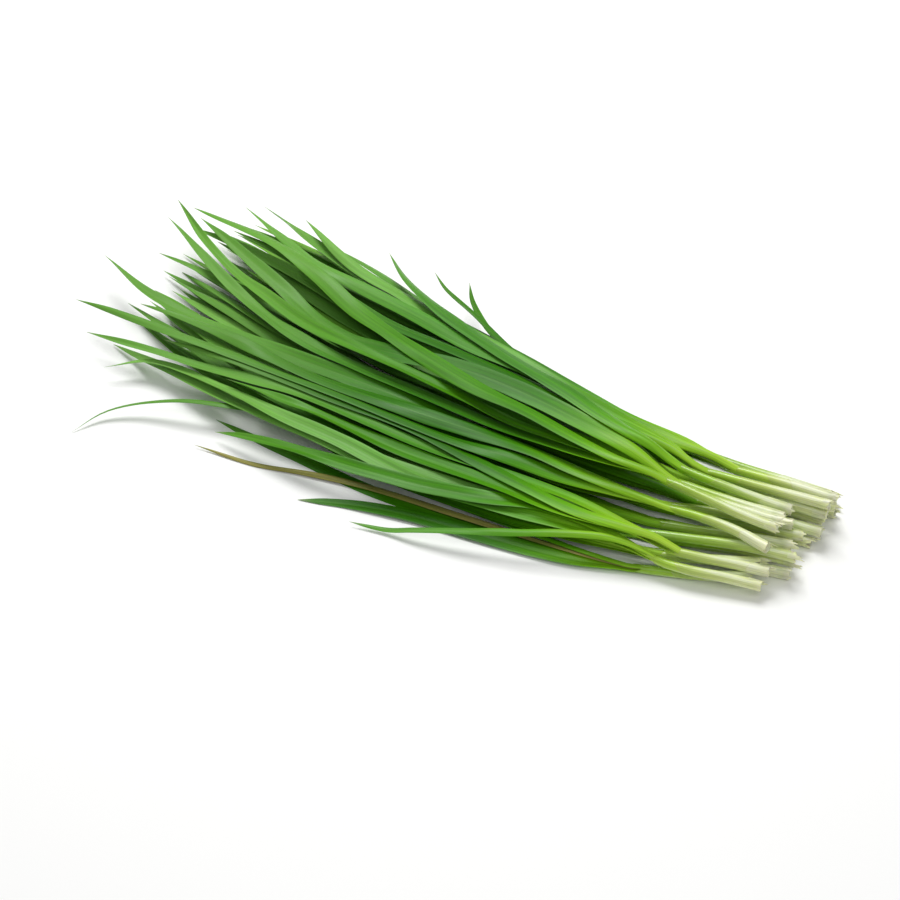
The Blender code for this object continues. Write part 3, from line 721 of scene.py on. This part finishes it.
def add_shred(mesh, stem, torn, rng):
    """Add a torn strip of the outer sheath that stands out past the cut."""
    part = np.linspace(0.0, 1.0, 12)[:, None]
    start = rng.uniform(4, 7) * MM
    room = cad_high[0] - plan_shift[0] - stem.points[0][0]
    end = -min(SHRED_REACH * torn * rng.uniform(0.3, 1.0), max(room, 0.0))
    spread = np.linspace(-1.0, 1.0, 6)
    spread = np.concatenate((spread, spread[::-1]))
    tip = 1 - part ** 3 * rng.uniform(0.5, 0.9)
    lean = rng.uniform(-0.3, 0.3) * part ** 2
    turn = rng.uniform(-0.6, math.pi + 0.6) + lean + spread * rng.uniform(0.25, 0.6) * tip
    distance = start + (end - start) * part * (1 - 0.12 * rng.random() * spread ** 2)
    bend = rng.uniform(-0.5, 0.4) * (torn / (3 * MM)) * part ** 3
    wall = np.where(np.arange(len(spread)) < len(spread) // 2, SHEATH_WALL, 0.0)
    share = 0.945 + bend + wall * (1 - 0.5 * part)
    points, grain = stem_rows(stem, distance, share, turn)
    mesh.add_rows(points, SHEATH, grain, from_cut=np.maximum(distance, 0.0), to_tip=1.0, layer=1.0)


# Finishes
# Every finish is plant tissue: a waxy skin over green, pale or dried cells. Their colours, veins and bloom
# come from the distances, the random tones and the leaf faces that the points carry; the blade's bloom is
# mixed in more strongly on the upper face, and that extra is a painted sheen.
def srgb(code):
    """Linear colour of an sRGB hex code."""
    parts = [int(code[i:i + 2], 16) / 255 for i in (0, 2, 4)]
    return tuple(c / 12.92 if c <= 0.04045 else ((c + 0.055) / 1.055) ** 2.4 for c in parts) + (1.0,)


def add_node(tree, kind, inputs=None, **settings):
    """Add a node with its settings, and link or set its inputs."""
    node = tree.nodes.new("ShaderNode" + kind)
    for key, value in settings.items():
        setattr(node, key, value)
    for key, value in (inputs or {}).items():
        if isinstance(value, bpy.types.NodeSocket):
            tree.links.new(value, node.inputs[key])
        else:
            node.inputs[key].default_value = value
    return node


def value_of(tree, name):
    return add_node(tree, "Attribute", attribute_name=name)


def maths(tree, operation, first, second=0.0, third=0.0):
    return add_node(tree, "Math", {0: first, 1: second, 2: third}, operation=operation).outputs[0]


def ranged(tree, value, low, high, start=0.0, end=1.0):
    """Value carried smoothly from low..high to start..end."""
    return add_node(tree, "MapRange", {"Value": value, "From Min": low, "From Max": high, "To Min": start,
                                       "To Max": end}, interpolation_type="SMOOTHSTEP").outputs[0]


def mixed(tree, factor, first, second):
    """Mix of two colours."""
    return add_node(tree, "Mix", {0: factor, 6: first, 7: second}, data_type="RGBA").outputs[2]


def ramp(tree, value, stops):
    node = add_node(tree, "ValToRGB", {0: value})
    elements = node.color_ramp.elements
    elements[0].position, elements[0].color = stops[0][0], srgb(stops[0][1])
    elements[1].position, elements[1].color = stops[-1][0], srgb(stops[-1][1])
    for place, code in stops[1:-1]:
        elements.new(place).color = srgb(code)
    return node.outputs[0]


def streaks(tree, grain, across_size, along_size, detail=2.0):
    """Noise drawn out along the fibres, with sizes in metres."""
    scale = (1 / across_size, 1 / across_size, 1 / along_size)
    stretched = add_node(tree, "VectorMath", {0: grain, 1: scale}, operation="MULTIPLY").outputs[0]
    return add_node(tree, "TexNoise", {"Vector": stretched, "Scale": 1.0, "Detail": detail}).outputs[0]


def shoot_green(tree, from_cut, tone, broad):
    """Colour by the distance from the cut: pale, yellow-green, then green. Each shoot differs."""
    uneven = maths(tree, "MULTIPLY_ADD", broad, 0.04, maths(tree, "MULTIPLY", tone, -0.03))
    distance = maths(tree, "ADD", from_cut, maths(tree, "ADD", uneven, -0.005))
    colour = ramp(tree, maths(tree, "MULTIPLY", distance, 1 / 0.2),
                  [(0.0, "d8e58c"), (0.08, "c4db62"), (0.2, "a4cb38"), (0.35, "82b71e"), (0.5, "5ea00c"),
                   (0.7, "448c04"), (1.0, "387a02")])
    return distance, colour


def new_material(name):
    material = bpy.data.materials.new(name)
    material.use_nodes = True
    return material, material.node_tree, material.node_tree.nodes["Principled BSDF"]


# Green blade: yellowish by the sheath, then a green that differs from leaf to leaf, with a pale green wax
# bloom that grows towards the tip and is mixed in five times more strongly on the leaf's upper face, which
# is a painted sheen, veins 0.6 mm apart, broader streaks about 1.1 mm across, a paler midrib and a greyed
# tip. Both spacings are guesses, and the bloom's fine speckle is drawn coarser, as streaks
blade_finish, tree, shader = new_material("chive_blade")
grain = value_of(tree, "grain").outputs["Vector"]
parts = add_node(tree, "SeparateXYZ", {0: grain}).outputs
tone = value_of(tree, "tone").outputs["Fac"]
from_cut = value_of(tree, "from_cut").outputs["Fac"]
to_tip = value_of(tree, "to_tip").outputs["Fac"]
upper = value_of(tree, "upper").outputs["Fac"]
dry = value_of(tree, "layer").outputs["Fac"]
broad = streaks(tree, grain, 4 * MM, 60 * MM)
fine = streaks(tree, grain, 0.35 * MM, 30 * MM)
mature = ramp(tree, parts[1], [(0.0, "62a00a"), (0.2, "408204"), (0.45, "2b6a01"), (0.65, "32720a"),
                              (0.85, "4a8a26"), (1.0, "66a040")])
distance, young = shoot_green(tree, from_cut, tone, broad)
green = mixed(tree, ranged(tree, distance, 0.09, 0.17), young, mature)
veins = maths(tree, "SINE", maths(tree, "MULTIPLY", parts[0], 2 * math.pi / (0.6 * MM)))
vein_shade = maths(tree, "MULTIPLY_ADD", veins, 0.05, ranged(tree, fine, 0.3, 0.7, 0.86, 1.1))
ribs = streaks(tree, grain, 1.1 * MM, 90 * MM)
vein_shade = maths(tree, "MULTIPLY", vein_shade, ranged(tree, ribs, 0.3, 0.7, 0.84, 1.14))
green = add_node(tree, "VectorMath", {0: green, 3: vein_shade}, operation="SCALE").outputs[0]
# Painted sheen: the pale bloom colour is mixed in five times more on the leaf's upper face, which mostly
# faces the lamps; the rest is the wax bloom's own colour
bloom_and_sheen = maths(tree, "MULTIPLY", ranged(tree, broad, 0.35, 0.7, 0.02, 0.24),
              maths(tree, "MULTIPLY_ADD", upper, 0.8, 0.2))
bloom_and_sheen = maths(tree, "MULTIPLY", bloom_and_sheen, ranged(tree, parts[1], 0.35, 0.8, 0.2, 1.2))
bloom_and_sheen = maths(tree, "MULTIPLY", bloom_and_sheen, ranged(tree, from_cut, 0.10, 0.20, 0.0, 0.5))
outer = ranged(tree, from_cut, 0.20, 0.34, 0.0, 0.4)
green = mixed(tree, maths(tree, "ADD", bloom_and_sheen, outer), green, srgb("86ba58"))
midrib = ranged(tree, maths(tree, "ABSOLUTE", parts[0]), 0.0, 0.4 * MM, 0.2, 0.0)
green = mixed(tree, midrib, green, srgb("6ca428"))
green = mixed(tree, ranged(tree, to_tip, 0.0, 9 * MM, 0.6, 0.0), green, srgb("8f9c74"))
straw = ramp(tree, fine, [(0.3, "6f7434"), (0.7, "a39a56")])
tree.links.new(mixed(tree, dry, green, straw), shader.inputs["Base Color"])
relief = maths(tree, "MULTIPLY_ADD", fine, 0.8, maths(tree, "MULTIPLY", veins, 0.25))
bump = add_node(tree, "Bump", {"Height": relief, "Strength": 0.5, "Distance": 0.05 * MM})
tree.links.new(bump.outputs[0], shader.inputs["Normal"])
tree.links.new(ranged(tree, broad, 0.3, 0.7, 0.34, 0.46), shader.inputs["Roughness"])
shader.inputs["IOR"].default_value = 1.42
shader.inputs["Specular IOR Level"].default_value = 0.22
shader.inputs["Subsurface Weight"].default_value = 0.15
shader.inputs["Subsurface Radius"].default_value = (0.5, 1.0, 0.2)
shader.inputs["Subsurface Scale"].default_value = 0.6 * MM

# Pale sheath: palest at the cut, yellow-green towards the leaves, glossy and slightly see-through, with
# greener and whiter bands along it, fine lengthwise fibres and a thin fawn line along each rolled rim
sheath_finish, tree, shader = new_material("chive_sheath")
grain = value_of(tree, "grain").outputs["Vector"]
tone = value_of(tree, "tone").outputs["Fac"]
from_cut = value_of(tree, "from_cut").outputs["Fac"]
to_rim = value_of(tree, "to_tip").outputs["Fac"]
layer = value_of(tree, "layer").outputs["Fac"]
broad = streaks(tree, grain, 2.5 * MM, 40 * MM)
fine = streaks(tree, grain, 0.3 * MM, 25 * MM)
pale = shoot_green(tree, from_cut, tone, broad)[1]
pale = mixed(tree, ranged(tree, broad, 0.32, 0.5, 0.45, 0.0), pale, srgb("84b420"))
pale = mixed(tree, ranged(tree, broad, 0.5, 0.66, 0.0, 0.4), pale, srgb("f0f4dc"))
skin = maths(tree, "MULTIPLY", layer, ranged(tree, from_cut, 0.005, 0.05, 0.4, 0.08))
pale = mixed(tree, skin, pale, srgb("f2f6da"))
shade = maths(tree, "MULTIPLY", ranged(tree, fine, 0.3, 0.7, 0.88, 1.06),
              ranged(tree, broad, 0.3, 0.7, 0.9, 1.08))
pale = add_node(tree, "VectorMath", {0: pale, 3: shade}, operation="SCALE").outputs[0]
pale = mixed(tree, ranged(tree, to_rim, 0.0, 0.6 * MM, 0.4, 0.0), pale, srgb("c8bd88"))
pale = mixed(tree, ranged(tree, from_cut, 0.0, 5 * MM, 0.5, 0.0), pale, srgb("e6e2c0"))
tree.links.new(pale, shader.inputs["Base Color"])
bump = add_node(tree, "Bump", {"Height": fine, "Strength": 0.45, "Distance": 0.06 * MM})
tree.links.new(bump.outputs[0], shader.inputs["Normal"])
tree.links.new(ranged(tree, broad, 0.3, 0.7, 0.22, 0.36), shader.inputs["Roughness"])
shader.inputs["IOR"].default_value = 1.42
shader.inputs["Specular IOR Level"].default_value = 0.6
shader.inputs["Subsurface Weight"].default_value = 0.3
shader.inputs["Subsurface Radius"].default_value = (0.8, 1.0, 0.3)
shader.inputs["Subsurface Scale"].default_value = 1.4 * MM

# Cut face: wet pale cells that have begun to dry fawn, rough with fibre ends
cut_finish, tree, shader = new_material("chive_cut_end")
grain = value_of(tree, "grain").outputs["Vector"]
specks = streaks(tree, grain, 0.25 * MM, 0.4 * MM, 3.0)
patches = streaks(tree, grain, 1.4 * MM, 2.0 * MM)
face = ramp(tree, specks, [(0.3, "b9bd8a"), (0.5, "dde5bb"), (0.7, "eff2dc")])
face = mixed(tree, ranged(tree, patches, 0.45, 0.7, 0.0, 0.6), face, srgb("b7a27a"))
tree.links.new(face, shader.inputs["Base Color"])
bump = add_node(tree, "Bump", {"Height": specks, "Strength": 0.8, "Distance": 0.15 * MM})
tree.links.new(bump.outputs[0], shader.inputs["Normal"])
shader.inputs["Roughness"].default_value = 0.55
shader.inputs["IOR"].default_value = 1.40
shader.inputs["Subsurface Weight"].default_value = 0.3
shader.inputs["Subsurface Radius"].default_value = (1.0, 1.0, 0.6)
shader.inputs["Subsurface Scale"].default_value = 1.0 * MM

# Shoots
# Each shoot is one plant, cut off above the root, and lies free of the others. One piece for each takes
# the place of its solid.
TORN_DEPTHS = (0.6, 1.4, 2.4, 3.4)
INNER_SHEATH_ENDS = (0.5, 0.9)
OUTER_SHEATH_ENDS = (0.16, 0.45)
OUTER_SHEATH_RADIUS = 0.94
OUTER_SHEATH_SHARE = 0.55
SHRED_COUNTS = (2, 3, 4)

for number, (stem, leaves) in enumerate(shoots, 1):
    rng = random.Random(number)
    node = f"shoot_{number:02d}"
    mesh = ShootMesh(rng.random())
    length = stem.along[-1]
    torn = rng.choice(TORN_DEPTHS) * MM
    add_core(mesh, stem, torn, rng)
    add_sheath(mesh, stem, CORE_RADIUS, length * rng.uniform(*INNER_SHEATH_ENDS), 0.5, torn, rng)
    if rng.random() < OUTER_SHEATH_SHARE:
        outer_end = length * rng.uniform(*OUTER_SHEATH_ENDS)
        add_sheath(mesh, stem, OUTER_SHEATH_RADIUS, outer_end, 1.0, torn, rng)
    for _ in range(rng.choice(SHRED_COUNTS)):
        add_shred(mesh, stem, torn, rng)
    free = number == 1 or number > len(shoots) - len(UPPER_SHOOTS)
    for leaf in leaves:
        add_blade(mesh, leaf, length, free, rng)
    piece = mesh.piece(f"chive_{number:02d}", [blade_finish, sheath_finish, cut_finish])
    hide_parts(node)
    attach(piece, "root")

# Floor
# The bunch lies on a plain matt white table top, which isn't part of it.
bpy.ops.mesh.primitive_plane_add(size=8)
floor = bpy.context.object
floor.name = "floor"
floor_finish, tree, shader = new_material("white_table")
shader.inputs["Base Color"].default_value = srgb("f6f6f5")
shader.inputs["Roughness"].default_value = 0.7
floor.data.materials.append(floor_finish)

# Light
# Two large soft lamps shine down in an even white surround that fills the shade: a strong one over the far
# side, towards the tips, and a weak one over the near side, towards the stems.
world = bpy.data.worlds.new("white_surround")
world.use_nodes = True
world.node_tree.nodes["Background"].inputs["Color"].default_value = (1, 1, 1, 1)
world.node_tree.nodes["Background"].inputs["Strength"].default_value = 0.34
bpy.context.scene.world = world
bpy.context.scene.view_settings.view_transform = "Standard"

# Each lamp's name, place and size in metres, and power in watts
lamps = (("key_lamp", (-0.35, 0.55, 1.25), 0.7, 17),
         ("fill_lamp", (0.55, -0.6, 1.1), 0.9, 4))
for name, place, size, power in lamps:
    lamp = bpy.data.objects.new(name, bpy.data.lights.new(name, "AREA"))
    lamp.data.energy = power
    lamp.data.size = size
    lamp.location = place
    lamp.rotation_euler = (-lamp.location).to_track_quat("-Z", "Y").to_euler()
    bpy.context.scene.collection.objects.link(lamp)

# Camera
# It looks down on the bunch from its near side, past the stems, with a long lens a metre away.
AZIMUTH = math.radians(30)
ELEVATION = math.radians(40)
CAMERA_DISTANCE = 1.0
back = Vector((math.sin(AZIMUTH) * math.cos(ELEVATION), -math.cos(AZIMUTH) * math.cos(ELEVATION),
               math.sin(ELEVATION)))
camera = bpy.data.objects.new("camera", bpy.data.cameras.new("camera"))
camera.data.lens = 80
camera.data.sensor_width = 36
camera.location = Vector((*plan_shift, 0.0)) + back * CAMERA_DISTANCE
camera.rotation_euler = back.to_track_quat("Z", "Y").to_euler()
bpy.context.scene.collection.objects.link(camera)
bpy.context.scene.camera = camera
